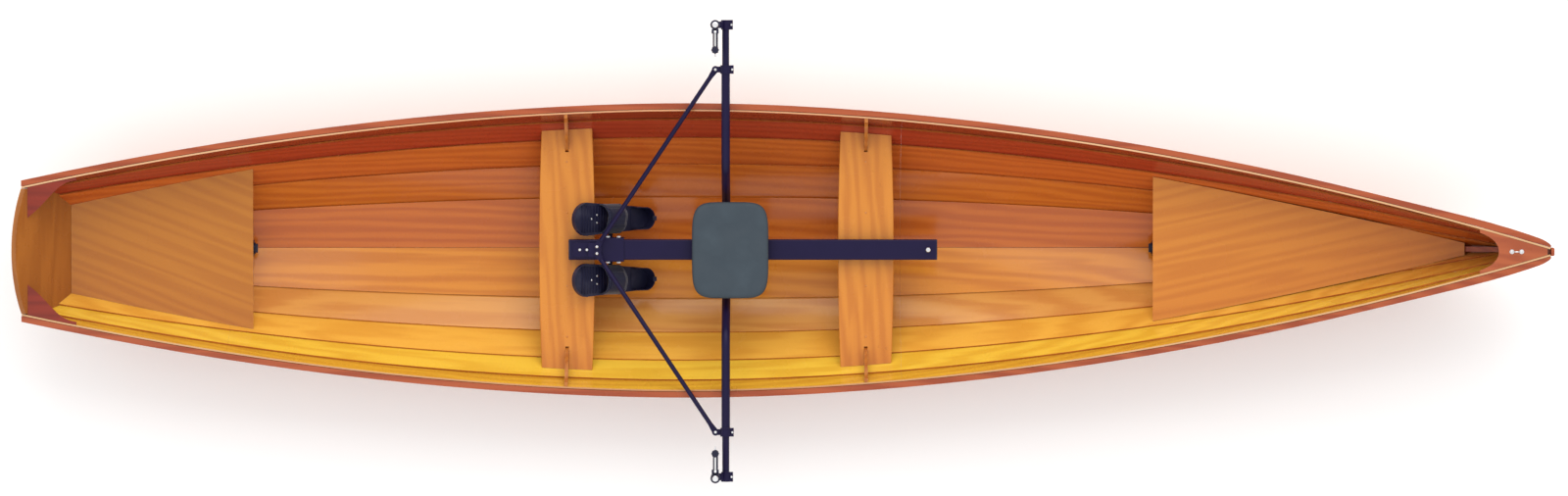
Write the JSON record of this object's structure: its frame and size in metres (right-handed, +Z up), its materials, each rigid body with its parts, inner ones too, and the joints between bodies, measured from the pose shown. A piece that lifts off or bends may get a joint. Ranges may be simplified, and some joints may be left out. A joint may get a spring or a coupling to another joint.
{
  "type": "rowing skiff",
  "caption": "Lapstrake varnished-plywood rowing skiff with decked ends, thwarts and a drop-in rig: rail, rolling seat, foot stretcher, bent wing tube, stays and oarlocks.",
  "frame": {"origin": "on the ground under the middle of the length, in the plane of symmetry", "axes": "+X to the bow, +Y to port, +Z up"},
  "size_m": [5.4115, 1.624, 0.5337],
  "materials": {
    "hull_plywood": "gloss varnish over marine plywood",
    "panel_plywood": "gloss varnish over marine plywood",
    "mahogany": "gloss varnish over mahogany",
    "black_anodised": "black anodised",
    "stainless": "brushed stainless steel",
    "black_plastic": "moulded black plastic",
    "wheel_plastic": "moulded nylon",
    "seat_foam": "closed-cell foam, slate grey",
    "webbing": "woven webbing"
  },
  "bodies": {
    "hull": {"aft_frame": "panel_plywood", "aft_thwart": "panel_plywood", "bow_bulkhead": "panel_plywood", "bow_deck": "panel_plywood", "brace_bracket": "black_anodised", "brace_clamps": "black_anodised", "brace_port": "black_anodised", "brace_starboard": "black_anodised", "breasthook": "mahogany", "drain_sockets": "black_plastic", "end_fittings": "black_anodised", "forward_frame": "panel_plywood", "forward_thwart": "panel_plywood", "fourth_strake_port": "hull_plywood", "fourth_strake_starboard": "hull_plywood", "garboard_port": "hull_plywood", "garboard_starboard": "hull_plywood", "hold_down_bolts": "stainless", "keel": "mahogany", "oarlock_pins": "stainless", "outwale_port": "mahogany", "outwale_starboard": "mahogany", "pad_eye": "stainless", "quarter_knees": "mahogany", "rail": "black_anodised", "rail_end_caps": "black_plastic", "rig_bolts": "stainless", "second_strake_port": "hull_plywood", "second_strake_starboard": "hull_plywood", "sheer_strake_port": "hull_plywood", "sheer_strake_starboard": "hull_plywood", "stem": "mahogany", "stern_bulkhead": "panel_plywood", "stern_deck": "panel_plywood", "third_strake_port": "hull_plywood", "third_strake_starboard": "hull_plywood", "transom": "mahogany", "wing_extensions": "black_anodised", "wing_saddle": "black_anodised", "wing_tube": "black_anodised"},
    "seat": {"seat_pad": "seat_foam", "seat_carriage": "black_anodised", "seat_axles": "stainless"},
    "aft_wheel_set": {"aft_wheels": "wheel_plastic"},
    "forward_wheel_set": {"forward_wheels": "wheel_plastic"},
    "port_oarlock": {"oarlock_port": "black_plastic"},
    "starboard_oarlock": {"oarlock_starboard": "black_plastic"},
    "port_gate": {"oarlock_gate_port": "stainless"},
    "starboard_gate": {"oarlock_gate_starboard": "stainless"},
    "stretcher": {"stretcher_saddle": "black_anodised", "stretcher_bolts": "stainless", "stretcher_crossbar": "black_anodised", "footplate_port": "black_plastic", "footplate_starboard": "black_plastic", "foot_straps": "webbing"},
    "port_heel": {"heel_cup_port": "black_plastic"},
    "starboard_heel": {"heel_cup_starboard": "black_plastic"},
    "stern_plug": {"stern_drain_plug": "black_plastic"},
    "bow_plug": {"bow_drain_plug": "black_plastic"}
  },
  "joints": [
    {"name": "seat_roll", "type": "slide", "parent": "hull", "child": "seat", "axis": [1, 0, 0], "range_m": [-0.17, 0.58]},
    {"name": "aft_wheel_spin", "type": "hinge", "parent": "seat", "child": "aft_wheel_set", "pos_m": [-0.265, 0, 0.29635], "axis": [0, 1, 0], "continuous": true},
    {"name": "forward_wheel_spin", "type": "hinge", "parent": "seat", "child": "forward_wheel_set", "pos_m": [-0.105, 0, 0.29635], "axis": [0, 1, 0], "continuous": true},
    {"name": "port_oarlock_swivel", "type": "hinge", "parent": "hull", "child": "port_oarlock", "pos_m": [-0.236, 0.795, 0.4447], "axis": [0, 0, 1], "continuous": true},
    {"name": "starboard_oarlock_swivel", "type": "hinge", "parent": "hull", "child": "starboard_oarlock", "pos_m": [-0.236, -0.795, 0.4447], "axis": [0, 0, 1], "continuous": true},
    {"name": "port_gate_hinge", "type": "hinge", "parent": "port_oarlock", "child": "port_gate", "pos_m": [-0.236, 0.77, 0.5237], "axis": [-1, 0, 0], "range_deg": [0, 100]},
    {"name": "starboard_gate_hinge", "type": "hinge", "parent": "starboard_oarlock", "child": "starboard_gate", "pos_m": [-0.236, -0.77, 0.5237], "axis": [1, 0, 0], "range_deg": [0, 100]},
    {"name": "stretcher_slide", "type": "slide", "parent": "hull", "child": "stretcher", "axis": [1, 0, 0], "range_m": [0, 0.05]},
    {"name": "port_heel_slide", "type": "slide", "parent": "stretcher", "child": "port_heel", "axis": [-0.788, 0, 0.6157], "range_m": [0, 0.04]},
    {"name": "starboard_heel_slide", "type": "slide", "parent": "stretcher", "child": "starboard_heel", "axis": [-0.788, 0, 0.6157], "range_m": [0, 0.04]},
    {"name": "stern_plug_pull", "type": "slide", "parent": "hull", "child": "stern_plug", "axis": [1, 0, 0], "range_m": [0, 0.03]},
    {"name": "bow_plug_pull", "type": "slide", "parent": "hull", "child": "bow_plug", "axis": [-1, 0, 0], "range_m": [0, 0.03]}
  ],
  "couplings": [
    {"joint": "aft_wheel_spin", "follows": "seat_roll", "rad_per_m": 62.5},
    {"joint": "forward_wheel_spin", "follows": "seat_roll", "rad_per_m": 62.5}
  ]
}
